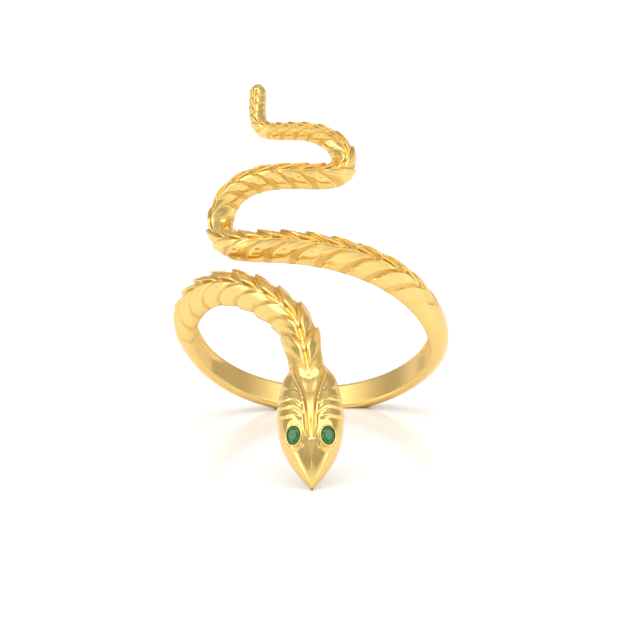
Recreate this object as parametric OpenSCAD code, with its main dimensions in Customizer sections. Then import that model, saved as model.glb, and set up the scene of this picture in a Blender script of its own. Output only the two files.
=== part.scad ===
// Snake wrap ring: one cast body that goes once round the finger, with two oval eye stones.
// The body is worked out on the unrolled finger cylinder and then wrapped round it.
// In the ring's own frame the finger runs along Z, the tail points up and the front faces -Y.

/* [Finger loop] */
// Inner diameter, where the finger goes
finger_d = 17.3; // [15:0.1:20]
// Width of the plain shank at the back
shank_w = 2.2; // [1.7:0.05:2.6]
// Thickness of the plain shank at the back
shank_t = 1.15; // [0.9:0.05:1.5]

/* [Scaled body] */
// Width of the scaled body where it crosses the front
body_w = 2.4; // [2:0.05:2.8]
// Thickness of the scaled body where it crosses the front
body_t = 1.55; // [1.3:0.05:1.9]
// Width of the body just before the tip of the tail
tail_w = 1.15; // [1:0.05:1.5]
// Thickness of the body just before the tip of the tail
tail_t = 0.95; // [0.8:0.05:1.2]
// Height of the tail's tip above the middle of the shank
tail_rise = 16.7; // [14:0.1:19]
// Depth of the hollow on the inside of the scaled body
hollow_depth = 0.5; // [0.2:0.05:0.8]

/* [Scales] */
// Length of one pair of scales on the widest body
scale_pitch = 2; // [1.6:0.05:2.4]
// How far the tip of a scale trails behind its root on the widest body
scale_sweep = 2.3; // [1:0.1:2.8]
// How far a scale stands up at its free end on the widest body
scale_rise = 0.36; // [0.15:0.01:0.45]
// How far the tips of the scales stand out at the sides of the widest body
scale_flare = 0.2; // [0.05:0.01:0.3]

/* [Head] */
// Length of the head
head_l = 8.8; // [6.5:0.1:11]
// Greatest width of the head
head_w = 4.9; // [4:0.05:6]
// Greatest thickness of the head
head_t = 2.35; // [2:0.05:3]
// Drop of the neck from the middle of the shank to the back of the head
neck_drop = 11.6; // [9.5:0.1:14]
// How far the head's tip lies to the right of the neck
head_aside = 0.25; // [0:0.05:0.8]
// Width of the neck
neck_w = 2.6; // [2.3:0.05:3.2]
// Rise of the two ribs on the head
rib_rise = 0.3; // [0.1:0.02:0.45]
// Rise of the three arched lines above each eye
arch_rise = 0.16; // [0.06:0.01:0.25]

/* [Eye stones] */
// Length of an eye stone
stone_l = 1.46; // [1.2:0.02:1.8]
// Width of an eye stone
stone_w = 1; // [0.8:0.02:1.3]
// Depth of an eye stone
stone_h = 0.68; // [0.5:0.02:0.9]
// Distance of each eye from the middle line of the head
eye_out = 1.2; // [1.1:0.01:1.5]
// Distance of the eyes from the tip of the head
eye_back = 3.35; // [3:0.05:4.1]
// Sideways lean of each eye
eye_lean = 26; // [15:1:40]
// Clearance between a stone and its seat
stone_gap = 0.03; // [0.02:0.005:0.06]
// Width of the gold rim round each stone
rim_w = 0.17; // [0.1:0.01:0.25]
// How far the rim stands up above the stone's girdle
rim_rise = 0.12; // [0.05:0.01:0.2]

/* [Resting place] */
// Depth of the small flat on the shank's lower edge, on which the ring stands
foot_cut = 0.35; // [0.15:0.01:0.45]
// Turn at which that flat lies (180 is straight behind the head)
foot_turn = 182; // [174:1:188]

/* [Hidden] */

finger_r = finger_d / 2;
wrap_r = finger_r + body_t / 2;
mm_per_degree = wrap_r * PI / 180;

// Route of the neck, head end first.
// Columns: turn round the finger, height as a share of the neck drop,
// width as a share of the way from the scaled body to the neck, thickness share of the body.
NECK = [
    [-0.3, -1.05, 1.1, 1.15], [0.5, -0.94, 1.05, 1.12], [1.9, -0.83, 1, 1.1], [3.2, -0.71, 0.9, 1.08],
    [4.6, -0.609, 0.8, 1.06], [8, -0.507, 0.65, 1.05], [13.5, -0.42, 0.5, 1.04], [20.5, -0.318, 0.4, 1.03],
    [29, -0.217, 0.3, 1.03], [39, -0.129, 0.2, 1.03], [51, -0.055, 0.1, 1.03], [65, -0.018, 0, 1.03],
];
// Turns at which the plain shank has its own width, round the back of the finger
SHANK_TURNS = [85, 105, 125, 145, 165, 185, 205, 225, 245, 263];
SHANK_DROP = [0.002, 0.009, 0.011, 0.008, 0.003, -0.002, -0.006, -0.012, -0.027, -0.05];
// Share of the body's width and thickness that each of those turns keeps
SHANK_FULL = [0.72, 0.25, 0, 0, 0, 0, 0, 0.05, 0.25, 0.6];
// Route of the front crossing, the loops and the tail.
// Columns: turn, height as a share of the tail's rise,
// width and thickness as shares of the way from the tail's end to the body.
TAIL = [
    [284, -0.068, 0.86, 0.94], [302, -0.058, 0.9, 1], [322, -0.036, 0.92, 1], [343, -0.008, 0.94, 1],
    [362, 0.023, 0.94, 1], [378, 0.058, 0.92, 0.98], [389, 0.092, 0.86, 0.93], [397.6, 0.136, 0.7, 0.86],
    [403.8, 0.19, 0.6, 0.8], [407, 0.254, 0.54, 0.75], [406.5, 0.322, 0.52, 0.72], [403.5, 0.388, 0.52, 0.7],
    [398, 0.432, 0.52, 0.68], [390, 0.452, 0.52, 0.65], [380, 0.449, 0.5, 0.62], [368, 0.434, 0.5, 0.6],
    [357, 0.425, 0.51, 0.58], [349.6, 0.438, 0.54, 0.57], [345.2, 0.486, 0.55, 0.55], [344.2, 0.548, 0.52, 0.48],
    [347, 0.606, 0.42, 0.36], [352.5, 0.654, 0.26, 0.24], [360.5, 0.686, 0.12, 0.12], [369, 0.696, 0.06, 0.06],
    [377, 0.707, 0.04, 0.02], [383, 0.732, 0.03, 0], [386.3, 0.778, 0.02, 0], [387.2, 0.84, 0.02, 0],
    [387, 0.92, 0, 0], [386.6, 1, 0, 0],
];

// Sections of the head, tip first.
// Columns: distance from the tip, width, thickness (shares of the head's sizes),
// rise of the middle line in ridges (+) and valley (-), place of the ribs across, rise of the ribs,
// rise of the arched lines.
HEAD = [
    [0.000, 0.03, 0.24, 0.00, 0.30, 0.0, 0],
    [0.020, 0.09, 0.32, 0.10, 0.30, 0.0, 0],
    [0.045, 0.17, 0.40, 0.20, 0.26, 0.0, 0],
    [0.090, 0.31, 0.52, 0.28, 0.22, 0.0, 0],
    [0.140, 0.44, 0.62, 0.32, 0.20, 0.0, 0],
    [0.200, 0.58, 0.72, 0.32, 0.18, 0.0, 0],
    [0.273, 0.73, 0.82, 0.28, 0.15, 0.0, 0],
    [0.325, 0.80, 0.87, 0.20, 0.12, 0.2, 0],
    [0.360, 0.85, 0.90, -0.10, 0.11, 0.7, 0],
    [0.407, 0.90, 0.93, -0.35, 0.11, 1.0, 0],
    [0.463, 0.94, 0.96, -0.45, 0.12, 1.0, 0],
    [0.541, 0.97, 0.99, -0.50, 0.13, 1.0, 0],
    [0.575, 0.98, 1.00, -0.55, 0.14, 1.0, 1],
    [0.610, 0.99, 1.00, -0.55, 0.15, 1.0, 0],
    [0.640, 1.00, 1.00, -0.58, 0.16, 1.0, 0],
    [0.662, 1.00, 1.00, -0.60, 0.17, 1.0, 1],
    [0.690, 0.99, 0.99, -0.60, 0.18, 1.0, 0],
    [0.722, 0.98, 0.98, -0.62, 0.20, 1.0, 0],
    [0.742, 0.97, 0.97, -0.64, 0.22, 1.0, 1],
    [0.770, 0.96, 0.96, -0.66, 0.24, 1.0, 0],
    [0.807, 0.94, 0.94, -0.70, 0.27, 1.0, 0],
    [0.850, 0.90, 0.92, -0.72, 0.34, 1.0, 0],
    [0.906, 0.83, 0.89, -0.72, 0.44, 1.0, 0],
    [0.955, 0.68, 0.85, -0.70, 0.60, 0.9, 0],
];

// Columns of one cross section, from the left edge over the outside to the right edge
// and back along the inside: place across, height, share of the scale's rise,
// share of the scale's sweep, share of the hollow, share of the scale's flare,
// and what the column carries on the head.
NOTHING = 0;
MIDDLE = 1;
RIB = 2;
CHEEK = 3;
SECTION = [
    [-1.00, 0.20, 0.35, 1.00, 0, 1, NOTHING], [-0.94, 0.52, 0.75, 0.93, 0, 1, CHEEK],
    [-0.74, 0.80, 1.00, 0.72, 0, 0, CHEEK], [-0.40, 0.95, 0.90, 0.36, 0, 0, RIB],
    [0.00, 1.00, 0.05, 0.00, 0, 0, MIDDLE],
    [0.40, 0.95, 0.90, 0.36, 0, 0, RIB], [0.74, 0.80, 1.00, 0.72, 0, 0, CHEEK],
    [0.94, 0.52, 0.75, 0.93, 0, 1, CHEEK], [1.00, 0.20, 0.35, 1.00, 0, 1, NOTHING],
    [0.90, 0.00, 0.00, 1.00, 0, 0, NOTHING], [0.50, 0.00, 0.00, 1.00, 1, 0, NOTHING],
    [-0.50, 0.00, 0.00, 1.00, 1, 0, NOTHING], [-0.90, 0.00, 0.00, 1.00, 0, 0, NOTHING],
];
// Share of a head's height that each column of the section keeps
HEAD_ARCH = [0.22, 0.46, 0.76, 0.93, 0.97, 0.93, 0.76, 0.46, 0.22, 0, 0, 0, 0];
// Rows of one scale, from its root to its free end: place along it and rise
SCALE_ROWS = [[0, 0], [0.28, 0.5], [0.6, 0.85], [0.86, 1]];
// Closing of the tail's tip: place along the last stretch and share of the section
TAIL_TIP = [[0.45, 0.93], [0.75, 0.74], [0.93, 0.45]];
// Length of that last stretch as a share of the tail's width
tip_share = 0.6;
// Turns at which the scales stop before the shank and start again behind it
scales_stop = 101;
scales_restart = 283;
// How far the length of a scale follows the width of the body (1 is wholly)
pitch_follow = 1;
// Shortest last scale, as a share of a whole one
least_scale = 0.6;
// Height of the eyes' girdles as a share of the head's thickness
eye_height = 0.795;
// Tip of each eye's face towards the tip of the head, and its twist in its seat
eye_tip = 6;
eye_twist = -4;
// Depths of the rims' feet and of the seats as shares of a stone's depth
rim_depth = 0.8;
seat_depth = 0.7;

// Shares of the head's length at which its middle line has a row, from the neck
HEAD_LINE = [1, 0.75, 0.5];

function mix(a, b, share) = a + (b - a) * share;
function ramp(x, from, to) = max(0, min(1, (x - from) / (to - from)));
function soft(x, from, to) = let (r = ramp(x, from, to)) r * r * (3 - 2 * r);

// Whole route as rows of distance round the finger, height, width, thickness and turn
route_rows = concat(
    [for (k = HEAD_LINE) [-head_aside * k, -neck_drop - head_l * k, neck_w, body_t, 0]],
    [for (r = NECK) [r[0] * mm_per_degree, r[1] * neck_drop, mix(body_w, neck_w, r[2]), r[3] * body_t, r[0]]],
    [for (i = [0:len(SHANK_TURNS) - 1]) [SHANK_TURNS[i] * mm_per_degree, SHANK_DROP[i] * tail_rise,
        mix(shank_w, body_w, SHANK_FULL[i]), mix(shank_t, body_t, SHANK_FULL[i]), SHANK_TURNS[i]]],
    [for (r = TAIL) [r[0] * mm_per_degree, r[1] * tail_rise,
        mix(tail_w, body_w, r[2]), mix(tail_t, body_t, r[3]), r[0]]]
);

// Smooth curve near the rows: a cubic B-spline that starts and ends on the end rows
function row_at(rows, i) = i < 0 ? 2 * rows[0] - rows[1]
    : i >= len(rows) ? 2 * rows[len(rows) - 1] - rows[len(rows) - 2] : rows[i];
function curve_at(rows, t) = let (
        i = min(floor(t), len(rows) - 2),
        f = t - i)
    (pow(1 - f, 3) * row_at(rows, i - 1) + (3 * pow(f, 3) - 6 * f * f + 4) * row_at(rows, i)
        + (-3 * pow(f, 3) + 3 * f * f + 3 * f + 1) * row_at(rows, i + 1) + pow(f, 3) * row_at(rows, i + 2)) / 6;
fine_steps = 12;
fine = [for (k = [0:(len(route_rows) - 1) * fine_steps]) curve_at(route_rows, k / fine_steps)];
function flat_step(i) = norm([fine[i][0] - fine[i - 1][0], fine[i][1] - fine[i - 1][1]]);
run = [for (i = 0, s = 0; i < len(fine); i = i + 1, s = s + (i < len(fine) ? flat_step(i) : 0)) s];
route_l = run[len(run) - 1];

// The route again at even steps, so that any place along it is found by its distance
even_step = 0.1;
even_n = ceil(route_l / even_step);
column_of = [for (c = [0:4]) [for (i = [0:len(fine) - 1]) [run[i], fine[i][c]]]];
even = [for (k = [0:even_n]) [for (c = [0:4]) lookup(min(k * even_step, route_l), column_of[c])]];
function at(s) = let (
        x = max(0, min(s / even_step, even_n - 0.001)),
        i = floor(x))
    mix(even[i], even[i + 1], x - i);
// Direction across the body on the unrolled cylinder, towards the tail's side of the right hand
function across_at(s) = let (
        d = at(s + 2 * even_step) - at(s - 2 * even_step),
        l = norm([d[0], d[1]]))
    [d[1] / l, -d[0] / l];
function place_of_turn(turn) = let (hits = [for (k = [0:even_n]) if (even[k][4] >= turn) k])
    hits[0] * even_step;

// Where the scales begin and end: from the back of the head to the shank, and from the shank to the tail
left_end = place_of_turn(scales_stop);
right_start = place_of_turn(scales_restart);
tip_l = tail_w * tip_share;
tail_end = route_l - tip_l;
function body_share(s) = at(s)[2] / body_w;
function pitch_at(s) = scale_pitch * mix(1, body_share(s), pitch_follow);
function scale_starts(s, stop) = s + least_scale * pitch_at(s) > stop ? []
    : concat([s], scale_starts(s + pitch_at(s), stop));
left_scales = scale_starts(head_l, left_end);
right_scales = scale_starts(right_start, tail_end);

// Share of full scales at a place: they fade out into the plain shank, over distances counted in scales
function scales_on(s) = s < (left_end + right_start) / 2
    ? soft(s, head_l * 0.9, head_l * 1.05) * (1 - soft(s, left_end - 3 * scale_pitch, left_end))
    : soft(s, right_start, right_start + 3 * scale_pitch);
// Backward sweep of the scales' tips, which also fades out at the head and at the end of the tail
function sweep_at(s) = scale_sweep * body_share(s) * soft(s, head_l * 0.78, head_l * 1.12)
    * (1 - soft(s, left_end - 2 * scale_pitch, left_end + 3 * scale_pitch)
        + soft(s, right_start - 3 * scale_pitch, right_start + 2 * scale_pitch))
    * (1 - soft(s, route_l - 4 * tail_w, route_l - tail_w));
// Depth of the hollow inside the body, which the plain shank and the thin tail don't have
function hollow_at(s) = hollow_depth * at(s)[3] / body_t * (soft(s, head_l * 1.3, head_l * 1.6)
    * (1 - soft(s, left_end + 1.5 * scale_pitch, left_end + 2.5 * scale_pitch))
    + soft(s, right_start - 3.5 * scale_pitch, right_start - 2.5 * scale_pitch)
    * (1 - soft(s, route_l - 6 * tail_w, route_l - 4 * tail_w)));

// Rows of the mesh behind the head: distance along the body and rise of the scale there
function rows_of_scales(starts, stop) = [for (i = [0:len(starts) - 1]) let (
        s = starts[i],
        l = (i + 1 < len(starts) ? starts[i + 1] : stop) - s)
    for (r = SCALE_ROWS) [s + r[0] * l, r[1]]];
shank_n = 15;
body_rows = concat(
    rows_of_scales(left_scales, left_end),
    [for (k = [0:shank_n - 1]) [mix(left_end, right_start, k / shank_n), 0]],
    rows_of_scales(right_scales, tail_end),
    [[tail_end, 0]]
);

// Wraps a point of the unrolled body round the finger
function wrap(arc, height, out) = let (turn = arc / mm_per_degree)
    [-(finger_r + out) * sin(turn), -(finger_r + out) * cos(turn), height];
function on_body(s, across, out) = let (p = at(s), n = across_at(s))
    wrap(p[0] + n[0] * across, p[1] + n[1] * across, out);

// One column of one row of the scaled body or the shank; grow closes the tail's tip
function body_point(s0, rise, c, grow = 1) = let (
        s = s0 + sweep_at(s0) * c[3],
        p = at(s),
        k = p[2] / body_w,
        on = scales_on(s0) * rise,
        half = p[2] / 2 * grow + scale_flare * k * on * c[5],
        shell = (c[1] - 0.5) * grow + 0.5,
        out = c[4] > 0 ? hollow_at(s) * c[4] + (1 - grow) * p[3] / 2
            : shell * p[3] + scale_rise * k * on * c[2])
    on_body(s, c[0] * half, out);

// One column of one section of the head
function head_point(r, i) = let (
        c = SECTION[i],
        carries = c[6],
        outside = c[1] > 0,
        place = carries == RIB ? sign(c[0]) * r[4] : c[0],
        half = r[1] * head_w / 2,
        s0 = r[0] * head_l,
        s = s0 + sweep_at(s0) * c[3],
        out = !outside ? 0 : HEAD_ARCH[i] * r[2] * head_t
            + (carries == MIDDLE ? r[3] * rib_rise : 0) + (carries == RIB ? r[5] * rib_rise : 0)
            + (carries == CHEEK ? r[6] * arch_rise : 0))
    on_body(s, place * half, out);

// All rows of the skin: the head, the scaled body with the shank, and the tip of the tail
head_rows = [for (r = HEAD) [for (i = [0:len(SECTION) - 1]) head_point(r, i)]];
scaled_rows = [for (r = body_rows) [for (c = SECTION) body_point(r[0], r[1], c)]];
tip_rows = [for (r = TAIL_TIP) [for (c = SECTION) body_point(tail_end + tip_l * r[0], 0, c, r[1])]];

// Axes of the ring as it rests: on the tip of the head and on the small flat of the shank's lower edge
edge_r = finger_r + SECTION[0][1] * shank_t;
head_tip = wrap(-head_aside, -neck_drop - head_l, HEAD_ARCH[3] * HEAD[0][2] * head_t / 2);
right = [-cos(foot_turn), sin(foot_turn), 0];
foot_edge = [-edge_r * sin(foot_turn), -edge_r * cos(foot_turn), -shank_w / 2];
function upright(v) = v / norm(v);
first_up = upright(cross(right, foot_edge - head_tip));
up = upright(cross(right, foot_edge + foot_cut * first_up - head_tip));
back = cross(up, right);
// The ground goes through the lowest point of the head's tip, and what lies below it is pressed flat
ground = min([for (p = head_rows[0]) up * p]);
function grounded(rows) = [for (row = rows) [for (p = row) p - min(0, up * p - ground) * up]];
snake_rows = grounded(concat(head_rows, scaled_rows, tip_rows));
body_points = [for (row = snake_rows) for (p = row) p];
stood = [for (p = body_points) [right * p, back * p, up * p]];
low = [for (k = [0:2]) min([for (p = stood) p[k]])];
high = [for (k = [0:2]) max([for (p = stood) p[k]])];
home = [-(low[0] + high[0]) / 2, -(low[1] + high[1]) / 2, -low[2]];

// Turns the ring from its own frame to where it rests, with its box centred over the origin
module at_rest() {
    multmatrix([
        [right[0], right[1], right[2], home[0]],
        [back[0], back[1], back[2], home[1]],
        [up[0], up[1], up[2], home[2]],
        [0, 0, 0, 1],
    ]) children();
}

// Skin over rows of points, closed at both ends
module skin(rows) {
    n = len(rows[0]);
    last = len(rows) - 1;
    points = [for (row = rows) for (p = row) p];
    sides = [for (r = [0:last - 1]) for (c = [0:n - 1]) let (a = r * n + c, b = r * n + (c + 1) % n)
        each [[a, b + n, a + n], [a, b, b + n]]];
    start = [for (c = [1:n - 2]) [0, c + 1, c]];
    finish = [for (c = [1:n - 2]) [last * n, last * n + c, last * n + c + 1]];
    polyhedron(points, concat(sides, start, finish));
}

// Frame of an eye on the head: Z out of the metal, Y along the head towards the neck
eye_top = finger_r + head_t * eye_height;
eye_aside = head_aside * (1 - eye_back / head_l);
module at_eye(side) {
    translate([side * eye_out + eye_aside, -eye_top, -neck_drop - head_l + eye_back])
        rotate([90, 0, 0]) rotate([0, side * eye_lean, 0]) rotate([eye_tip, 0, side * eye_twist]) children();
}

// Oval outline of a stone, grown by a margin
stone_sides = 16;
function oval(width, length) = [for (k = [0:stone_sides - 1]) let (a = 360 * (k + 0.5) / stone_sides)
    [width / 2 * cos(a), length / 2 * sin(a)]];
module oval_prism(grow, bottom, top) {
    translate([0, 0, bottom]) linear_extrude(top - bottom) polygon(oval(stone_w + 2 * grow, stone_l + 2 * grow));
}

// Cut stone: table, two rows of crown facets, girdle and pavilion.
// Columns: share of the outline's size, height as a share of the stone's depth.
STONE = [[0.56, 0.30], [0.84, 0.20], [1, 0.06], [1, 0], [0.55, -0.40], [0.12, -0.70]];
module cut_stone() {
    rows = [for (r = STONE) [for (p = oval(stone_w * r[0], stone_l * r[0])) [p[0], p[1], r[1] * stone_h]]];
    skin(rows);
}

module snake_ring() {
    color("gold") at_rest() difference() {
        union() {
            skin(snake_rows);
            for (side = [-1, 1]) at_eye(side) oval_prism(rim_w, -stone_h * rim_depth, rim_rise);
        }
        for (side = [-1, 1]) at_eye(side) oval_prism(stone_gap, -stone_h * seat_depth - stone_gap, stone_h);
    }
}

module eye_stone_left() {
    color("seagreen") at_rest() at_eye(-1) cut_stone();
}

module eye_stone_right() {
    color("seagreen") at_rest() at_eye(1) cut_stone();
}

snake_ring();
eye_stone_left();
eye_stone_right();
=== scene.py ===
# %% [markdown]
# This lesson dresses a snake wrap ring. On the real jewel one casting winds once round the finger, and two
# cut stones sit in its head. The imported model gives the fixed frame: where everything is and how large.
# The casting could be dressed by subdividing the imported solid, but its scales would stay blunt. So it is
# worked out again here from the same sizes, as one fine mesh.

# %% Load the frame
import math

import bmesh
import bpy
import numpy as np
from mathutils import Matrix, Vector


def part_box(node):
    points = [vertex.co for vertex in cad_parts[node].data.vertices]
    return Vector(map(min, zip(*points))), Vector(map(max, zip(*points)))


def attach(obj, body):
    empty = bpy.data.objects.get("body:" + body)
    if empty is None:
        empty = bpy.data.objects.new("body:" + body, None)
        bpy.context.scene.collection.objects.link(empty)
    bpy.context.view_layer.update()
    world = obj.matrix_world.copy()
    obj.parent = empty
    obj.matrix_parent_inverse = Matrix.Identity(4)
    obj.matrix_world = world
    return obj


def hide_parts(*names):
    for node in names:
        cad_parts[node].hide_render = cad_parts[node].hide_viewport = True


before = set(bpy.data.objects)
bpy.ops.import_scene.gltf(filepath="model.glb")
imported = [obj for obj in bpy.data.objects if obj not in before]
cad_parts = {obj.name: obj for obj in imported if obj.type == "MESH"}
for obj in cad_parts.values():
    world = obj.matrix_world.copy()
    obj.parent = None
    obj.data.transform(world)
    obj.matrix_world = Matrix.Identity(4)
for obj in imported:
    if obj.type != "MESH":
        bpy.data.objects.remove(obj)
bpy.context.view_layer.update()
scene = bpy.context.scene
MM = 0.001
print("nodes:", sorted(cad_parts))

# %% [markdown]
# The camera comes first, so that every later look is judged from the photograph's angle. It stands in front
# of the ring and a little above the table. A short lens would swell the head, which is nearest, so a long
# lens from further away keeps the loop round and the head in proportion. The Standard view keeps a pale
# table white, where a filmic view would grey it.

# %% Camera
CAMERA_HEIGHT_DEG = 11.6
CAMERA_SIDE_DEG = 2.6
CAMERA_ROLL_DEG = -1.95
CAMERA_DISTANCE = 345 * MM
FRAME_WIDTH = 46.5 * MM
SENSOR = 36.0
aim = Vector((0.88 * MM, 0.1 * MM, 9.3 * MM))


def direction(side_deg, height_deg):
    """Direction from the ring to a place that many degrees to the side of the front and above the table."""
    side, height = math.radians(side_deg), math.radians(height_deg)
    return Vector((math.sin(side) * math.cos(height), -math.cos(side) * math.cos(height), math.sin(height)))


scene.view_settings.view_transform = "Standard"
towards_camera = direction(CAMERA_SIDE_DEG, CAMERA_HEIGHT_DEG)
camera_data = bpy.data.cameras.new("camera")
camera_data.sensor_width = SENSOR
camera_data.lens = SENSOR * CAMERA_DISTANCE / FRAME_WIDTH
camera_data.clip_start = 10 * MM
camera = bpy.data.objects.new("camera", camera_data)
scene.collection.objects.link(camera)
camera.location = aim + towards_camera * CAMERA_DISTANCE
roll = Matrix.Rotation(math.radians(CAMERA_ROLL_DEG), 3, "Z")
camera.rotation_euler = (towards_camera.to_track_quat("Z", "Y").to_matrix() @ roll).to_euler()
scene.camera = camera
print("lens in mm:", round(camera_data.lens, 1))

# %% [markdown]
# The ring's driving sizes, in millimetres, are the same as in its construction: the finger loop, the body,
# the scales, the head and the stones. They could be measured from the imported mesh, but a measured number
# doesn't say what it is. Everything below is worked out from these names.

# %% Sizes in millimetres
finger_r = 17.3 / 2
shank_w, shank_t = 2.2, 1.15
body_w, body_t = 2.4, 1.55
tail_w, tail_t, tail_rise = 1.15, 0.95, 16.7
hollow_depth = 0.5
scale_pitch, scale_sweep, scale_rise, scale_flare = 2.0, 2.3, 0.36, 0.2
head_l, head_w, head_t, head_aside = 8.8, 4.9, 2.35, 0.25
neck_drop, neck_w = 11.6, 2.6
rib_rise, arch_rise = 0.3, 0.16
stone_l, stone_w, stone_h = 1.46, 1.0, 0.68
eye_out, eye_back, eye_lean = 1.2, 3.35, 26.0
eye_height, eye_tip, eye_twist = 0.795, 6.0, -4.0
stone_gap, rim_w = 0.03, 0.17
foot_cut, foot_turn = 0.35, 182.0
mm_per_degree = (finger_r + body_t / 2) * math.pi / 180
print("finger loop:", 2 * finger_r, "mm inside, head:", head_l, "mm long")

# %% [markdown]
# The snake's route is a curve on an unrolled cylinder: how far round the finger, and how high. It could be a
# Bezier curve in space with a bevel, but then the inside of the ring would only be roughly round. Worked
# out flat and rolled up afterwards, it lies on the finger as on a jeweller's mandrel.

# %% Route tables
# One row each: turn in degrees, height as a share of the neck's drop, share of the way from the body's to
# the neck's width, thickness as a share of the body's
NECK = [
    (-0.3, -1.05, 1.1, 1.15), (0.5, -0.94, 1.05, 1.12), (1.9, -0.83, 1, 1.1), (3.2, -0.71, 0.9, 1.08),
    (4.6, -0.609, 0.8, 1.06), (8, -0.507, 0.65, 1.05), (13.5, -0.42, 0.5, 1.04), (20.5, -0.318, 0.4, 1.03),
    (29, -0.217, 0.3, 1.03), (39, -0.129, 0.2, 1.03), (51, -0.055, 0.1, 1.03), (65, -0.018, 0, 1.03),
]
# Turn in degrees, height as a share of the tail's rise, share of the way from the shank to the full body
SHANK = [
    (85, 0.002, 0.72), (105, 0.009, 0.25), (125, 0.011, 0), (145, 0.008, 0), (165, 0.003, 0),
    (185, -0.002, 0), (205, -0.006, 0), (225, -0.012, 0.05), (245, -0.027, 0.25), (263, -0.05, 0.6),
]
# Turn in degrees, height as a share of the tail's rise, shares of the way from the tail's end to the body
# in width and in thickness
TAIL = [
    (284, -0.068, 0.86, 0.94), (302, -0.058, 0.9, 1), (322, -0.036, 0.92, 1), (343, -0.008, 0.94, 1),
    (362, 0.023, 0.94, 1), (378, 0.058, 0.92, 0.98), (389, 0.092, 0.86, 0.93), (397.6, 0.136, 0.7, 0.86),
    (403.8, 0.19, 0.6, 0.8), (407, 0.254, 0.54, 0.75), (406.5, 0.322, 0.52, 0.72), (403.5, 0.388, 0.52, 0.7),
    (398, 0.432, 0.52, 0.68), (390, 0.452, 0.52, 0.65), (380, 0.449, 0.5, 0.62), (368, 0.434, 0.5, 0.6),
    (357, 0.425, 0.51, 0.58), (349.6, 0.438, 0.54, 0.57), (345.2, 0.486, 0.55, 0.55),
    (344.2, 0.548, 0.52, 0.48), (347, 0.606, 0.42, 0.36), (352.5, 0.654, 0.26, 0.24),
    (360.5, 0.686, 0.12, 0.12), (369, 0.696, 0.06, 0.06), (377, 0.707, 0.04, 0.02), (383, 0.732, 0.03, 0),
    (386.3, 0.778, 0.02, 0), (387.2, 0.84, 0.02, 0), (387, 0.92, 0, 0), (386.6, 1, 0, 0),
]
# Rows along the head's middle line, as shares of its length from the neck
HEAD_LINE = (1, 0.75, 0.5)


def mix(a, b, share):
    return a + (b - a) * share


route_rows = [(-head_aside * k, -neck_drop - head_l * k, neck_w, body_t, 0) for k in HEAD_LINE]
route_rows += [(t * mm_per_degree, h * neck_drop, mix(body_w, neck_w, w), d * body_t, t)
               for t, h, w, d in NECK]
route_rows += [(t * mm_per_degree, h * tail_rise, mix(shank_w, body_w, f), mix(shank_t, body_t, f), t)
               for t, h, f in SHANK]
route_rows += [(t * mm_per_degree, h * tail_rise, mix(tail_w, body_w, w), mix(tail_t, body_t, d), t)
               for t, h, w, d in TAIL]
print("rows of the route:", len(route_rows))

# %% [markdown]
# Straight lines between the rows would show as corners in polished metal. A B-spline passes near the rows
# without a corner, and is then read again at even distances, so that "3 mm from the tip" has one meaning.

# %% Smooth route, found again by distance along it
FINE_STEPS = 12
EVEN_STEP = 0.1
TIP_SHARE = 0.6
SCALES_STOP, SCALES_RESTART = 101, 283


def spline(table, steps):
    """Uniform cubic B-spline near the rows of a table, with both ends held."""
    held = np.vstack([2 * table[0] - table[1], table, 2 * table[-1] - table[-2], 2 * table[-1] - table[-2]])
    place = np.arange((len(table) - 1) * steps + 1) / steps
    i = np.minimum(place.astype(int), len(table) - 2)
    f = (place - i)[:, None]
    parts = ((1 - f) ** 3, 3 * f ** 3 - 6 * f ** 2 + 4, -3 * f ** 3 + 3 * f ** 2 + 3 * f + 1, f ** 3)
    return sum(part * held[i + k] for k, part in enumerate(parts)) / 6


fine = spline(np.array(route_rows, float), FINE_STEPS)
run = np.concatenate([[0], np.cumsum(np.hypot(np.diff(fine[:, 0]), np.diff(fine[:, 1])))])
route_l = run[-1]
even_n = math.ceil(route_l / EVEN_STEP)
even_s = np.minimum(np.arange(even_n + 1) * EVEN_STEP, route_l)
even = np.stack([np.interp(even_s, run, fine[:, c]) for c in range(fine.shape[1])], 1)


def at(s):
    """Place round the finger, height, width, thickness and turn at a distance along the snake."""
    x = np.clip(np.asarray(s, float) / EVEN_STEP, 0, even_n - 0.001)
    i = x.astype(int)
    f = (x - i)[..., None]
    return even[i] * (1 - f) + even[i + 1] * f


def across_at(s):
    """Direction across the snake on the unrolled cylinder."""
    d = at(np.asarray(s) + 2 * EVEN_STEP) - at(np.asarray(s) - 2 * EVEN_STEP)
    length = np.hypot(d[..., 0], d[..., 1])
    return d[..., 1] / length, -d[..., 0] / length


def place_of_turn(turn_deg):
    return np.flatnonzero(even[:, 4] >= turn_deg)[0] * EVEN_STEP


def soft(x, start, stop):
    """Rises smoothly from 0 at start to 1 at stop."""
    r = np.clip((np.asarray(x, float) - start) / (stop - start), 0, 1)
    return r * r * (3 - 2 * r)


left_end, right_start = place_of_turn(SCALES_STOP), place_of_turn(SCALES_RESTART)
tip_l = tail_w * TIP_SHARE
tail_end = route_l - tip_l
print("length of the snake in mm:", round(route_l, 1))

# %% [markdown]
# The scales are leaves in pairs. Each leaf grows from the spine, sweeps back to the side and ends in a free
# tip, so a pair makes a V that points to the head. Where the body turns into the plain shank, the leaves
# fade out as if polished away. Each fade is a soft step along the snake, because a hard switch would leave a
# visible seam.

# %% Fading of the scales, their sweep and the hollow inside
# Shares of the head's length between which the scales, their sweep and the hollow come in
SCALES_FROM, SWEEP_FROM, HOLLOW_FROM = (0.9, 1.05), (0.78, 1.12), (1.3, 1.6)
# Lengths in scales over which the scales fade, and by which the sweep fades before and beyond the last one
SCALES_FADE, SWEEP_BEFORE, SWEEP_BEYOND = 3, 2, 3
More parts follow.
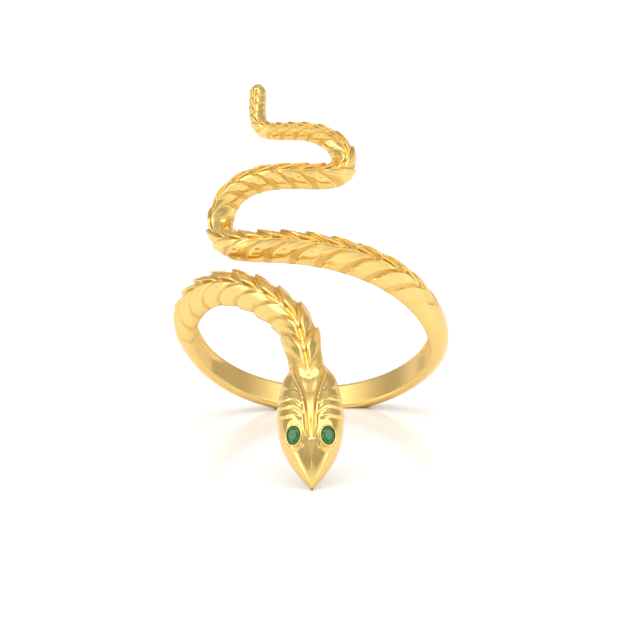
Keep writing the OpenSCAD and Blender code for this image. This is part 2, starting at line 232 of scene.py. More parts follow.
# Lengths in scales beyond the last one between which the hollow ends
HOLLOW_STOP_LEFT, HOLLOW_STOP_RIGHT = (1.5, 2.5), (2.5, 3.5)
# Lengths in tail widths from the tail's end between which the sweep and the hollow end
SWEEP_TO, HOLLOW_TO = (4, 1), (6, 4)


def body_share(s):
    return at(s)[..., 2] / body_w


def in_lengths(s, start, unit_l, ends):
    """Soft step between two distances that are given in lengths of one unit from a start."""
    return soft(s, start + unit_l * ends[0], start + unit_l * ends[1])


def to_tail(s, ends):
    return 1 - soft(s, route_l - ends[0] * tail_w, route_l - ends[1] * tail_w)


def scales_on(s):
    left = in_lengths(s, 0, head_l, SCALES_FROM)
    left = left * (1 - in_lengths(s, left_end, scale_pitch, (-SCALES_FADE, 0)))
    right_side = in_lengths(s, right_start, scale_pitch, (0, SCALES_FADE))
    return np.where(np.asarray(s) < (left_end + right_start) / 2, left, right_side)


def sweep_at(s):
    along = 1 - in_lengths(s, left_end, scale_pitch, (-SWEEP_BEFORE, SWEEP_BEYOND)) \
        + in_lengths(s, right_start, scale_pitch, (-SWEEP_BEYOND, SWEEP_BEFORE))
    ends = in_lengths(s, 0, head_l, SWEEP_FROM) * to_tail(s, SWEEP_TO)
    return scale_sweep * body_share(s) * ends * along


def hollow_at(s):
    near, far = HOLLOW_STOP_RIGHT
    left = in_lengths(s, 0, head_l, HOLLOW_FROM)
    left = left * (1 - in_lengths(s, left_end, scale_pitch, HOLLOW_STOP_LEFT))
    right_side = in_lengths(s, right_start, scale_pitch, (-far, -near)) * to_tail(s, HOLLOW_TO)
    return hollow_depth * at(s)[..., 3] / body_t * (left + right_side)


print("sweep at the front in mm:", round(float(sweep_at(place_of_turn(360))), 2))

# %% [markdown]
# The length of a scale follows the width of the body there, so the scales get smaller towards the tail.
# Rows of the mesh could lie at even distances, but then a leaf's sharp edge would fall between two rows and
# look torn. So each scale gets the same rows, close together where its edge is.

# %% Rows of the mesh: distance along the body and place within the scale
SCALE_PLACES = (0, 0.05, 0.1, 0.14, 0.18, 0.23, 0.3, 0.38, 0.47, 0.56, 0.65, 0.74, 0.82, 0.88, 0.92, 0.96)
LEAST_SCALE = 0.6
HEAD_ROWS, SHANK_ROWS, TIP_ROWS = 190, 60, 12
TIP_ANGLE = math.pi / 2 * 0.97


def scale_starts(s, stop):
    starts = []
    while True:
        pitch = scale_pitch * float(body_share(s))
        if s + LEAST_SCALE * pitch > stop:
            return starts
        starts.append(s)
        s += pitch


def rows_of_scales(starts, stop):
    ends = starts[1:] + [stop]
    return [(s + p * (e - s), p) for s, e in zip(starts, ends) for p in SCALE_PLACES]


left_scales = scale_starts(head_l, left_end)
right_scales = scale_starts(right_start, tail_end)
mesh_rows = [(head_l * k / HEAD_ROWS, 0.0) for k in range(HEAD_ROWS)]
mesh_rows += rows_of_scales(left_scales, left_end)
mesh_rows += [(mix(left_end, right_start, k / SHANK_ROWS), 0.0) for k in range(SHANK_ROWS)]
mesh_rows += rows_of_scales(right_scales, tail_end)
mesh_rows += [(tail_end + tip_l * math.sin(a), 0.0) for a in np.linspace(0, TIP_ANGLE, TIP_ROWS)]
row_s, row_p = np.array(mesh_rows).T
print("pairs of scales:", len(left_scales), "before the shank and", len(right_scales), "behind it")
print("rows of the mesh:", len(row_s))

# %% [markdown]
# A cross section is a low arch outside and nearly flat inside, as a finger needs it. A half circle would be
# the simplest arch. A superellipse is used instead, because it holds its height longer and then falls
# steeply at the edges, like the metal of the ring.

# %% Section of the body
OUTER_COLUMNS, INNER_COLUMNS = 81, 17
EDGE_HEIGHT = 0.2
ARCH_POWER = 2.6
INNER_REACH, INNER_FLAT = 0.98, 0.9
spread_out = np.linspace(-1, 1, OUTER_COLUMNS)
spread_round = -np.cos(np.linspace(0, math.pi, OUTER_COLUMNS))
outer_x = (spread_out + spread_round) / 2
outer_y = EDGE_HEIGHT + (1 - EDGE_HEIGHT) * np.sqrt(np.clip(1 - np.abs(outer_x) ** ARCH_POWER, 0, 1))
inner_x = np.linspace(INNER_REACH, -INNER_REACH, INNER_COLUMNS)
inner_edge = (np.abs(inner_x) - INNER_FLAT).clip(0) / (1 - INNER_FLAT)
inner_y = EDGE_HEIGHT * (1 - np.sqrt(np.clip(1 - inner_edge ** 2, 0, 1)))
column_x = np.concatenate([outer_x, inner_x])
column_y = np.concatenate([outer_y, inner_y])
is_outer = np.arange(len(column_x)) < OUTER_COLUMNS
print("columns of the mesh:", len(column_x))

# %% [markdown]
# Each leaf starts with a narrow bare groove, rises along its length and falls off round at its free end,
# where it lies over the next one. A shallow crease crosses it in the middle. All of this could be a bump in
# the material, but a bump leaves the outline smooth, and on the ring the leaves show in the outline.

# %% Relief of one leaf
LEAF_BOLD = 1.25
GROOVE_L, GROOVE_MORE = 0.15, 0.1
FIRST_STEP, FIRST_STEP_L = 0.3, 0.12
ROUND_FROM, ROUND_DROP = 0.84, 0.9
CREASE_DEPTH, CREASE_PLACE, CREASE_L = 0.12, 0.45, 0.12
CREASE_FROM, CREASE_TO = (0.15, 0.5), (0.75, 0.98)
BARE_TO = 0.1


def leaf(p, ax):
    """Height of a leaf and share of bare groove, from the place p along it and ax out from the spine."""
    groove_here = GROOVE_L + GROOVE_MORE * ax ** 2
    q = np.clip((p - groove_here) / (1 - groove_here), 0, 1)
    climb = soft(q, 0.0, FIRST_STEP_L) * FIRST_STEP + (1 - FIRST_STEP) * (1 - (1 - q) ** 2)
    rounding = 1 - soft(q, ROUND_FROM, 1.0) * ROUND_DROP
    crease = CREASE_DEPTH * np.exp(-((q - CREASE_PLACE) / CREASE_L) ** 2)
    crease = crease * soft(ax, *CREASE_FROM) * (1 - soft(ax, *CREASE_TO))
    height = climb * rounding * (q > 0) - crease
    return np.clip(height, 0, 1), 1 - soft(q, 0.0, BARE_TO)


print("height of a leaf near its end:", round(float(leaf(np.array(0.84), np.array(0.5))[0]), 2))

# %% [markdown]
# The body's skin is the arch with the leaves on it. The leaves leave a fine line free along the spine, sink
# at the edge and flare a little past the side there. Inside, the thick body is hollowed along its middle,
# as a caster does to save metal.

# %% Skin of the body
SPINE_W = 0.09
EDGE_SINK, EDGE_POWER = 0.65, 7
FLARE_FROM, HOLLOW_SIDE, GROOVE_SIDE = (0.75, 0.97), (0.5, 0.88), (0.04, 0.12)


def body_skin(s0, p, x, y, outer, grow):
    """Distance along, distance across, distance out and bare groove, for places on the body."""
    ax = np.abs(x)
    s = s0 + sweep_at(s0) * ax
    route = at(s)
    size = route[..., 2] / body_w
    on = scales_on(s0)
    height, bare_share = leaf(p, ax)
    spine = 1 - np.exp(-(ax / SPINE_W) ** 2)
    edge = 1 - EDGE_SINK * ax ** EDGE_POWER
    flare = scale_flare * size * on * height * soft(ax, *FLARE_FROM) * outer
    shell = (y - 0.5) * grow + 0.5
    leaves = LEAF_BOLD * scale_rise * size * on * height * spine * edge
    hollow = hollow_at(s) * (1 - soft(ax, *HOLLOW_SIDE))
    out_inner = y * route[..., 3] + hollow + (1 - grow) * route[..., 3] / 2
    out = np.where(outer, shell * route[..., 3] + leaves, out_inner)
    return s, x * (route[..., 2] / 2 * grow + flare), out, bare_share * on * outer * soft(ax, *GROOVE_SIDE)


print("flare at the widest body in mm:", scale_flare)

# %% [markdown]
# The head is a pointed dome. Two ribs come together between the eyes with a valley between them, three
# arched lines lie above each eye, and a weaker one lies further back. It could be sculpted by hand, but a
# table of sections can be read and changed. Each line is a narrow swell with a rounded top, as a wax carver
# would leave it.

# %% Head tables
# One row each: distance from the tip, width and thickness, all as shares of the head's, height of the
# middle line as a share of the ribs' rise, where the ribs lie across the head, and their strength
HEAD = np.array([
    (0.000, 0.03, 0.24, 0.00, 0.30, 0.0), (0.020, 0.09, 0.32, 0.10, 0.30, 0.0),
    (0.045, 0.17, 0.40, 0.20, 0.26, 0.0), (0.090, 0.31, 0.52, 0.28, 0.22, 0.0),
    (0.140, 0.44, 0.62, 0.32, 0.20, 0.0), (0.200, 0.58, 0.72, 0.32, 0.18, 0.0),
    (0.273, 0.73, 0.82, 0.28, 0.15, 0.0), (0.325, 0.80, 0.87, 0.20, 0.12, 0.2),
    (0.360, 0.85, 0.90, -0.10, 0.11, 0.7), (0.407, 0.90, 0.93, -0.35, 0.11, 1.0),
    (0.463, 0.94, 0.96, -0.45, 0.12, 1.0), (0.541, 0.97, 0.99, -0.50, 0.13, 1.0),
    (0.610, 0.99, 1.00, -0.55, 0.15, 1.0), (0.662, 1.00, 1.00, -0.60, 0.17, 1.0),
    (0.722, 0.98, 0.98, -0.62, 0.20, 1.0), (0.770, 0.96, 0.96, -0.66, 0.24, 1.0),
    (0.807, 0.94, 0.94, -0.70, 0.27, 1.0), (0.850, 0.90, 0.92, -0.72, 0.34, 1.0),
    (0.906, 0.83, 0.89, -0.72, 0.44, 1.0), (0.955, 0.68, 0.85, -0.70, 0.60, 0.9),
    (1.000, 0.58, 0.80, -0.40, 0.75, 0.6),
])
# Place of each arched line along the head, and its rise as a share of the arched lines' rise
ARCHES = ((0.568, 1.0), (0.657, 1.0), (0.736, 1.0), (0.845, 0.6))
print("sections of the head:", len(HEAD), "and arched lines a side:", len(ARCHES))

# %% Skin of the head
HEAD_CROWN = 0.97
TABLE_ROUNDING = np.array([-0.016, -0.008, 0, 0.008, 0.016])
RIDGE_W, VALLEY_WALL = 0.16, (0.55, 0.95)
RIB_W, SHOULDER, SHOULDER_END = 0.04, 0.35, 0.75
CHEEK_FROM, CHEEK_TO = (0.03, 0.1), (0.93, 1.0)
# Where an arched line peaks across the head, how far it reaches to both sides, and how far it bends there
ARCH_PEAK, ARCH_IN, ARCH_OUT = 0.6, 0.36, 0.4
ARCH_BEND_IN, ARCH_BEND_OUT, ARCH_BEND_POWER = 0.75, 0.6, 1.5
ARCH_FRONT_W, ARCH_BACK_W = 0.09, 0.3
ARCHES_FROM = (0.5, 0.56)


def head_columns(r):
    """Reads the head's table at r, rounded over so that no row shows as a corner."""
    return [sum(np.interp(r + d, HEAD[:, 0], HEAD[:, c]) for d in TABLE_ROUNDING) / len(TABLE_ROUNDING)
            for c in range(1, HEAD.shape[1])]


def arched_lines(s0, ax):
    bend_in = ARCH_BEND_IN * np.clip((ARCH_PEAK - ax) / ARCH_IN, 0, None) ** 2
    bend_out = ARCH_BEND_OUT * np.clip((ax - ARCH_PEAK) / ARCH_OUT, 0, None) ** ARCH_BEND_POWER
    lines = 0
    for where, rise in ARCHES:
        d = s0 - (where * head_l - bend_in + bend_out)
        lines = lines + rise * np.exp(-(d / np.where(d < 0, ARCH_FRONT_W, ARCH_BACK_W)) ** 2)
    return lines


def head_skin(s0, x, y, outer):
    """Distance along, distance across and distance out, for places on the head."""
    r = s0 / head_l
    ax = np.abs(x)
    width, thick, middle, rib_place, strength = head_columns(r)
    ridge = middle * np.exp(-(ax / RIDGE_W) ** 2)
    valley = middle * (1 - soft(ax, rib_place * VALLEY_WALL[0], rib_place * VALLEY_WALL[1]))
    crest = np.exp(-((ax - rib_place) / RIB_W) ** 2)
    behind_rib = rib_place + CHEEK_FROM[0]
    shoulder = SHOULDER * soft(ax, rib_place, behind_rib) * (1 - soft(ax, behind_rib, SHOULDER_END))
    cheek = soft(ax, behind_rib, rib_place + CHEEK_FROM[1]) * (1 - soft(ax, *CHEEK_TO))
    relief = (np.where(middle > 0, ridge, valley) + strength * (crest + shoulder)) * rib_rise
    relief = relief + arched_lines(s0, ax) * cheek * arch_rise * soft(r, *ARCHES_FROM)
    dome = y * np.where(outer, HEAD_CROWN, 1) * thick * head_t
    return s0 + sweep_at(s0) * ax, x * width * head_w / 2, dome + np.where(outer, relief, 0)


print("rounding of the head's table in mm:", round(2 * head_l * float(TABLE_ROUNDING[-1]), 2))

# %% [markdown]
# Head and body are blended where they meet, and the grid of places is rolled round the finger. A Simple
# Deform modifier could bend a flat mesh as well, but the direct formula is exact and can be read.

# %% Wrap round the finger
JOIN_FROM = 0.93
LEAST_GROWTH = 0.02
s0 = row_s[:, None]
x0 = column_x[None, :]
y0 = column_y[None, :]
outer0 = is_outer[None, :]
grow = np.ones_like(row_s)
in_tip = row_s > tail_end
grow[in_tip] = np.sqrt(np.clip(1 - ((row_s[in_tip] - tail_end) / tip_l) ** 2, LEAST_GROWTH, 1))
s_body, across_body, out_body, bare = body_skin(s0, row_p[:, None], x0, y0, outer0, grow[:, None])
s_head, across_head, out_head = head_skin(s0, x0, y0, outer0)
is_head = s0 < head_l
join = soft(s0, head_l * JOIN_FROM, head_l) * np.ones_like(x0)
s_all = np.where(is_head, s_head, s_body)
across_all = np.where(is_head, mix(across_head, across_body, join), across_body)
out_all = np.where(is_head, mix(out_head, out_body, join), out_body)
bare = np.where(is_head, 0, bare)


def wrap(arc, height, out):
    turn_rad = np.radians(arc / mm_per_degree)
    return np.stack([-(finger_r + out) * np.sin(turn_rad), -(finger_r + out) * np.cos(turn_rad), height], -1)


route_all = at(s_all)
across_x, across_y = across_at(s_all)
arc_all = route_all[..., 0] + across_x * across_all
height_all = route_all[..., 1] + across_y * across_all
ring_points = wrap(arc_all, height_all, out_all)
print("points:", ring_points.shape[0] * ring_points.shape[1])

# %% [markdown]
# The ring stands on the tip of its head and on a small flat at the back of its shank. Those two places and
# the sideways direction give its three axes, by the same steps as in its construction, so the fine mesh
# stands exactly as its solid does.

# %% Axes of the standing ring
TIP_CROWN = 0.93


def unit(v):
    return v / np.linalg.norm(v)


edge_r = finger_r + EDGE_HEIGHT * shank_t
turn_of_foot = math.radians(foot_turn)
foot_edge = np.array([-edge_r * math.sin(turn_of_foot), -edge_r * math.cos(turn_of_foot), -shank_w / 2])
head_tip = wrap(-head_aside, -neck_drop - head_l, TIP_CROWN * HEAD[0, 2] * head_t / 2)
right = np.array([-math.cos(turn_of_foot), math.sin(turn_of_foot), 0])
first_up = unit(np.cross(right, foot_edge - head_tip))
up = unit(np.cross(right, foot_edge + foot_cut * first_up - head_tip))
standing = np.stack([right, np.cross(up, right), up])
print("lean of the finger's axis in degrees:", round(math.degrees(math.acos(up[2])), 1))

# %% [markdown]
# Each stone has a frame of its own, with its Z out of the metal. Turning four times is longer than typing
# one matrix, but each turn is one that a setter makes: outwards, sideways, round and a little along the
# head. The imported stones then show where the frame's origin is.

# %% Frame of an eye, and the frame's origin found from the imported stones
STONE = ((0.56, 0.30), (0.84, 0.20), (1, 0.06), (1, 0), (0.55, -0.40), (0.12, -0.70))
STONE_SIDES = 16
EYES = ((-1, "eye_stone_left"), (1, "eye_stone_right"))


def turned(degrees, axis):
    return Matrix.Rotation(math.radians(degrees), 3, axis)


def eye_frame(side):
    """Axes and place of an eye in the ring's frame."""
    outwards = turned(90, "X") @ turned(side * eye_lean, "Y")
    axes = outwards @ turned(side * eye_twist, "Z") @ turned(eye_tip, "X")
    eye_aside = head_aside * (1 - eye_back / head_l)
    eye_r = finger_r + head_t * eye_height
    return np.array(axes), np.array([side * eye_out + eye_aside, -eye_r, -neck_drop - head_l + eye_back])


def from_eye(side, eye_points):
    axes, place = eye_frame(side)
    return eye_points @ axes.T + place


stone_angles = np.radians(360 * (np.arange(STONE_SIDES) + 0.5) / STONE_SIDES)
stone_points = np.array([(stone_w / 2 * k * math.cos(a), stone_l / 2 * k * math.sin(a), h * stone_h)
                         for k, h in STONE for a in stone_angles])
homes = []
for side, name in EYES:
    placed = from_eye(side, stone_points) @ standing.T
    low, high = (np.array(v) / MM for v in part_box(name))
    homes.append((low + high) / 2 - (placed.min(0) + placed.max(0)) / 2)
home = sum(homes) / 2
print("the two stones agree within mm:", round(float(np.abs(homes[0] - homes[1]).max()), 4))

# %% [markdown]
# Each stone sits in an oval seat. The seat could be cut with a Boolean modifier, but that leaves thin faces
# round the cut. Here the skin of the head is pushed down inside the seat's outline, along the eye's own
# axis, and lifted to a level collar round it.

# %% Push the seats into the head
SEAT_RIM, SEAT_DEPTH, SEAT_WALL = 0.6, 0.75, 0.86
COLLAR_LEVEL, COLLAR_END, COLLAR_SHARE = 0.02, 1.45, 0.85
SEAT_REACH, SEAT_NEAR = 1.6, 1.2
skin = ring_points.reshape(-1, 3)
for side, name in EYES:
    axes, place = eye_frame(side)
    local = (skin - place) @ axes
    seat_edge = stone_gap + rim_w * SEAT_RIM
    reach = np.hypot(local[:, 0] / (stone_w / 2 + seat_edge), local[:, 1] / (stone_l / 2 + seat_edge))
    near = (reach < SEAT_REACH) & (np.abs(local[:, 2]) < SEAT_NEAR) & np.tile(is_outer, len(row_s))
    inside = near & (reach < 1.0)
    depth = 1 - soft(reach, SEAT_WALL, 1.0)
    sunk = mix(np.minimum(local[:, 2], COLLAR_LEVEL), -stone_h * SEAT_DEPTH, depth)
    local[inside, 2] = np.minimum(local[inside, 2], sunk[inside])
    collar = near & (reach >= 1.0)
    level = (1 - soft(reach, 1.0, COLLAR_END)) * COLLAR_SHARE
    local[collar, 2] = mix(local[collar, 2], COLLAR_LEVEL, level[collar])
    skin = local @ axes.T + place
print("seats pushed into the head:", len(EYES))

# %% [markdown]
# Now the ring is stood up. Where its lower edge would go through the table it is flattened, as a file does
# on the bench, and that is the flat it stands on.

# %% Stand the ring up
stood = skin @ standing.T + home
below = int((stood[:, 2] < 0).sum())
stood[:, 2] = np.maximum(stood[:, 2], 0)
print("points filed flat:", below)

# %% [markdown]
# The mesh is a grid of quads, closed by a fan at each end. Two masks go with it as attributes. One is high
# in the grooves between the leaves, which keep a fine granular surface and get a painted shade, and the other
# on the inside of the ring, which is only brushed. Painted masks would need a UV map, and attributes don't.

# %% Build the casting
n_rows, n_cols = len(row_s), len(column_x)
casting_faces = []
for r in range(n_rows - 1):
    for c in range(n_cols):
        a = r * n_cols + c
        b = r * n_cols + (c + 1) % n_cols
        casting_faces.append((a, b, b + n_cols, a + n_cols))
start_centre = n_rows * n_cols
end_centre = start_centre + 1
last_row = start_centre - n_cols
for c in range(n_cols):
    d = (c + 1) % n_cols
    casting_faces.append((start_centre, d, c))
    casting_faces.append((end_centre, last_row + c, last_row + d))
centres = np.stack([stood[:n_cols].mean(0), stood[last_row:].mean(0)])
casting_points = np.vstack([stood, centres]) * MM
mesh = bpy.data.meshes.new("snake_casting")
mesh.from_pydata(casting_points.tolist(), [], casting_faces)
satin = np.concatenate([np.tile(~is_outer, n_rows), [0, 0]])
# the groove mask also places the painted shade in the gold's colour
groove = np.concatenate([np.broadcast_to(bare, (n_rows, n_cols)).ravel(), [0, 0]])
for name, values in (("satin", satin), ("groove", groove)):
    mask = mesh.attributes.new(name, "FLOAT", "POINT")
    mask.data.foreach_set("value", values.astype(np.float32))
print("faces of the casting:", len(casting_faces))

# %% [markdown]
# A thin rolled rim of gold holds each stone. It is a ring torus squeezed to an oval and joined into the
# casting's mesh, since on the jewel it is the same metal. Torus objects would do too, but they would be
# pieces of their own.

# %% Rims round the stones
RIM_SIDES, RIM_STEPS = 10, 64
RIM_TUBE, RIM_OUT, RIM_LEVEL = rim_w * 0.5, 0.8, 0.03


def rim(side):
    """Points and quads of the rim round one eye, in the frame."""
    from_stone = stone_gap + RIM_TUBE * RIM_OUT
    points = []
    for a in np.arange(RIM_STEPS) * 2 * math.pi / RIM_STEPS:
        for b in np.arange(RIM_SIDES) * 2 * math.pi / RIM_SIDES:
            wide = stone_w / 2 + from_stone + RIM_TUBE * math.cos(b)
            long = stone_l / 2 + from_stone + RIM_TUBE * math.cos(b)
            points.append((wide * math.cos(a), long * math.sin(a), RIM_TUBE * math.sin(b) + RIM_LEVEL))
    quads = []
    for i in range(RIM_STEPS):
        for k in range(RIM_SIDES):
            here, ahead = i * RIM_SIDES, (i + 1) % RIM_STEPS * RIM_SIDES
            beside = (k + 1) % RIM_SIDES
            quads.append((here + k, ahead + k, ahead + beside, here + beside))
    return (from_eye(side, np.array(points)) @ standing.T + home) * MM, quads


build = bmesh.new()
build.from_mesh(mesh)
for side, name in EYES:
    rim_points, rim_quads = rim(side)
    made = [build.verts.new(point) for point in rim_points]
    for quad in rim_quads:
        build.faces.new([made[i] for i in quad])
bmesh.ops.recalc_face_normals(build, faces=build.faces)
build.to_mesh(mesh)
build.free()
mesh.shade_smooth()
snake = bpy.data.objects.new("snake_casting", mesh)
scene.collection.objects.link(snake)
print("casting with rims, faces:", len(mesh.polygons))

# %% [markdown]
# One effect serves the grooves, the brushed inside and the stones: a fine grain. It is a node group with
# named sockets, so that each of them gives its own scale and stretch. Copies of the nodes in every material
# would look the same, but each change would then have to be made three times.

# %% Node group: fine grain


def grain_group():
    group = bpy.data.node_groups.new("fine_grain", "ShaderNodeTree")
    for name, kind, value in (("Scale", "NodeSocketFloat", 1000.0),
                              ("Stretch", "NodeSocketVector", (1, 1, 1)),
                              ("Amount", "NodeSocketFloat", 1.0)):
        socket = group.interface.new_socket(name, in_out="INPUT", socket_type=kind)
        socket.default_value = value
    group.interface.new_socket("Height", in_out="OUTPUT", socket_type="NodeSocketFloat")
    nodes, links = group.nodes, group.links
    inputs, outputs = nodes.new("NodeGroupInput"), nodes.new("NodeGroupOutput")
    coords = nodes.new("ShaderNodeTexCoord")
    stretch = nodes.new("ShaderNodeVectorMath")
    stretch.operation = "MULTIPLY"
    noise = nodes.new("ShaderNodeTexNoise")
    noise.inputs["Detail"].default_value = 3
    strength = nodes.new("ShaderNodeMath")
    strength.operation = "MULTIPLY"
    links.new(coords.outputs["Object"], stretch.inputs[0])
    links.new(inputs.outputs["Stretch"], stretch.inputs[1])
    links.new(stretch.outputs[0], noise.inputs["Vector"])
    links.new(inputs.outputs["Scale"], noise.inputs["Scale"])
    links.new(noise.outputs["Fac"], strength.inputs[0])
    links.new(inputs.outputs["Amount"], strength.inputs[1])
    links.new(strength.outputs[0], outputs.inputs["Height"])
    return group


grain = grain_group()
print("group:", grain.name, [item.name for item in grain.interface.items_tree])

# %% Helpers for materials


def new_material(name):
    """A material and its shader."""
    material = bpy.data.materials.new(name)
    material.use_nodes = True
    return material, material.node_tree.nodes["Principled BSDF"]


def place_grain(tree, scale, stretch=(1, 1, 1), amount=1.0):
    node = tree.nodes.new("ShaderNodeGroup")
    node.node_tree = grain
    node.inputs["Scale"].default_value = scale
    node.inputs["Stretch"].default_value = stretch
    node.inputs["Amount"].default_value = amount
    return node.outputs["Height"]


def mask_value(tree, name):
    node = tree.nodes.new("ShaderNodeAttribute")
    node.attribute_name = name
    return node.outputs["Fac"]


def math_node(tree, kind, a, b):
    node = tree.nodes.new("ShaderNodeMath")
    node.operation = kind
    for socket, value in zip(node.inputs, (a, b)):
        if isinstance(value, bpy.types.NodeSocket):
            tree.links.new(value, socket)
        else:
            socket.default_value = value
    return node.outputs[0]


def mixed_colour(tree, factor, a, b):
    node = tree.nodes.new("ShaderNodeMix")
    node.data_type = "RGBA"
    tree.links.new(factor, node.inputs["Factor"])
    node.inputs["A"].default_value = a
    node.inputs["B"].default_value = b
    return node.outputs["Result"]


print("node groups:", len(bpy.data.node_groups))

# %% [markdown]
# The metal is a yellow gold plating, polished until it mirrors the room. A metal's colour is its Base Color
# with Metallic at 1. Over the surface the roughness and the bump change: the masks choose between polish,
# grain and brush marks. The grooves also get painted shade: a deeper gold in the Base Color that stands in
# for the light bouncing there more than once.

# %% Gold
GOLD = (0.86, 0.60, 0.21, 1)
# a deeper gold painted into the grooves as shade
GOLD_PAINTED_SHADE = (0.78, 0.50, 0.14, 1)
POLISH, GROOVE_ROUGHER, BRUSH_ROUGHER = 0.19, 0.22, 0.12
BEAD_SCALE, BRUSH_SCALE, BRUSH_STRETCH = 9000, 2200, (0.35, 1, 1.6)
BRUSH_HEIGHT = 0.18
BUMP_STRENGTH, BUMP_DEPTH = 0.6, 0.08 * MM


def gold_material():
    material, shader = new_material("yellow_gold")
    tree = material.node_tree
    shader.inputs["Metallic"].default_value = 1.0
    in_groove, inside_ring = mask_value(tree, "groove"), mask_value(tree, "satin")
    # painted shade: the groove mask gives the grooves a deeper gold than the rest of the metal
    tree.links.new(mixed_colour(tree, in_groove, GOLD, GOLD_PAINTED_SHADE), shader.inputs["Base Color"])
    rough = math_node(tree, "ADD", POLISH, math_node(tree, "MULTIPLY", in_groove, GROOVE_ROUGHER))
    rough = math_node(tree, "ADD", rough, math_node(tree, "MULTIPLY", inside_ring, BRUSH_ROUGHER))
    tree.links.new(rough, shader.inputs["Roughness"])
    beads = math_node(tree, "MULTIPLY", place_grain(tree, BEAD_SCALE), in_groove)
    brush_share = math_node(tree, "MULTIPLY", inside_ring, BRUSH_HEIGHT)
    brush = math_node(tree, "MULTIPLY", place_grain(tree, BRUSH_SCALE, BRUSH_STRETCH), brush_share)
    bump = tree.nodes.new("ShaderNodeBump")
    bump.inputs["Strength"].default_value = BUMP_STRENGTH
    bump.inputs["Distance"].default_value = BUMP_DEPTH
    tree.links.new(math_node(tree, "ADD", beads, brush), bump.inputs["Height"])
    tree.links.new(bump.outputs["Normal"], shader.inputs["Normal"])
    return material


gold = gold_material()
snake.data.materials.append(gold)
print("material:", gold.name)

# %% [markdown]
# The stones are cut green stones: deep green, partly clear, with a table and facets that mirror the lamps.
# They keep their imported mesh, because its facets are already the right ones, and a smoother mesh would make
# beads of them. A cloudy green keeps the two from looking like paint.

# %% Green stones
STONE_DARK = (0.01, 0.17, 0.03, 1)
STONE_LIGHT = (0.05, 0.38, 0.09, 1)
CLOUD_SCALE = 1800
STONE_ROUGH, STONE_IOR, STONE_CLEAR = 0.04, 1.58, 0.6


def stone_material():
    material, shader = new_material("green_stone")
    tree = material.node_tree
    clouds = place_grain(tree, CLOUD_SCALE)
    tree.links.new(mixed_colour(tree, clouds, STONE_DARK, STONE_LIGHT), shader.inputs["Base Color"])
    shader.inputs["Roughness"].default_value = STONE_ROUGH
    shader.inputs["IOR"].default_value = STONE_IOR
    shader.inputs["Transmission Weight"].default_value = STONE_CLEAR
    return material


green = stone_material()
for side, name in EYES:
    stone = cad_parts[name]
    stone.data.materials.clear()
    stone.data.materials.append(green)
print("stones:", len(EYES))

# %% [markdown]
# The table is a pale, faintly glossy board, so that the gold is mirrored in it softly. A plane that is much
# larger than the ring leaves no edge in the picture.

# %% Table
TABLE = 0.6
TABLE_WHITE, TABLE_ROUGH = (0.97, 0.97, 0.97, 1), 0.15
corners = [(-TABLE, -TABLE, 0), (TABLE, -TABLE, 0), (TABLE, TABLE, 0), (-TABLE, TABLE, 0)]
floor_mesh = bpy.data.meshes.new("table_top")
floor_mesh.from_pydata(corners, [], [(0, 1, 2, 3)])
floor = bpy.data.objects.new("table_top", floor_mesh)
scene.collection.objects.link(floor)
floor_material, floor_shader = new_material("pale_table")
floor_shader.inputs["Base Color"].default_value = TABLE_WHITE
floor_shader.inputs["Roughness"].default_value = TABLE_ROUGH
floor_mesh.materials.append(floor_material)
print("table side in m:", 2 * TABLE)

# %% [markdown]
# A jewel lives from what it mirrors. Two large soft lamps hang left and right above it, with a dimmer gap
# between them that draws the valley of the head and the edges of the leaves. A single lamp overhead would
# fill the valley with white. Three weaker lamps light the sides and the front.

# %% Lamps
AIM_HEIGHT = 0.01
# Name, place, width and length in metres, power in watts
LAMPS = (
    ("lamp_above_left", (-0.12, -0.04, 0.30), (0.11, 0.26), 0.18),
    ("lamp_above_right", (0.12, -0.04, 0.30), (0.11, 0.26), 0.18),
    ("lamp_left", (-0.3, -0.16, 0.14), (0.08, 0.3), 0.16),
    ("lamp_right", (0.32, -0.10, 0.16), (0.06, 0.3), 0.10),
    ("lamp_front", (0.04, -0.42, 0.22), (0.14, 0.06), 0.08),
)


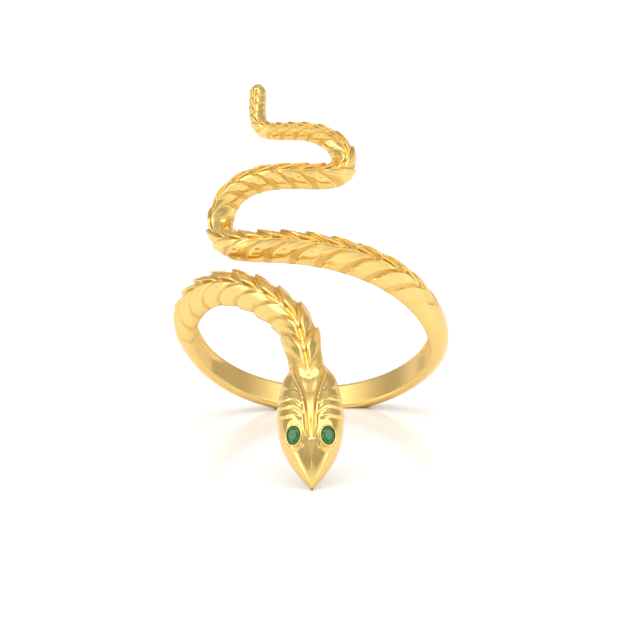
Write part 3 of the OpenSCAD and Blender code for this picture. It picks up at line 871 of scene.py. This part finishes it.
def hang_lamp(name, place, size, power):
    data = bpy.data.lights.new(name, "AREA")
    data.shape = "RECTANGLE"
    data.size, data.size_y = size
    data.energy = power
    lamp = bpy.data.objects.new(name, data)
    lamp.location = place
    to_lamp = Vector(place) - Vector((0, 0, AIM_HEIGHT))
    lamp.rotation_euler = to_lamp.to_track_quat("Z", "Y").to_euler()
    scene.collection.objects.link(lamp)


for row in LAMPS:
    hang_lamp(*row)
print("lamps:", len(LAMPS))

# %% [markdown]
# The room is white, and a plain white room would make the gold look flat. So the metal mirrors a room with a
# darker band above the horizon and a dim ceiling, which the Light Path node shows to glossy rays alone.
# A photographer does the same with grey cards that stay out of the picture.

# %% Room
# Height on the sky, from horizon 0 to zenith 1, and brightness there
BANDS = ((0.22, 1.0), (0.34, 0.50), (0.55, 0.52), (0.78, 0.85), (0.92, 0.62))
HORIZON, CEILING = (1.0, 1.0, 1.0, 1), (0.56, 0.56, 0.55, 1)
WARMTH = 0.97
world = bpy.data.worlds.new("pale_room")
scene.world = world
world.use_nodes = True
room = world.node_tree
sky_coords = room.nodes.new("ShaderNodeTexCoord")
sky_axes = room.nodes.new("ShaderNodeSeparateXYZ")
bands = room.nodes.new("ShaderNodeValToRGB")
room.links.new(sky_coords.outputs["Generated"], sky_axes.inputs[0])
room.links.new(sky_axes.outputs["Z"], bands.inputs["Fac"])
bands.color_ramp.elements[0].color = HORIZON
bands.color_ramp.elements[1].color = CEILING
for height, value in BANDS:
    stop = bands.color_ramp.elements.new(height)
    stop.color = (value, value, value * WARMTH, 1)
path = room.nodes.new("ShaderNodeLightPath")
seen = room.nodes.new("ShaderNodeMix")
seen.data_type = "RGBA"
seen.inputs["A"].default_value = HORIZON
room.links.new(path.outputs["Is Glossy Ray"], seen.inputs["Factor"])
room.links.new(bands.outputs["Color"], seen.inputs["B"])
room.links.new(seen.outputs["Result"], room.nodes["Background"].inputs["Color"])
print("bands of the room:", len(BANDS))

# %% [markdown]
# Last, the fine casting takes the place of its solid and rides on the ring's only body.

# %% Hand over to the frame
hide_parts("snake_ring")
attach(snake, "root")
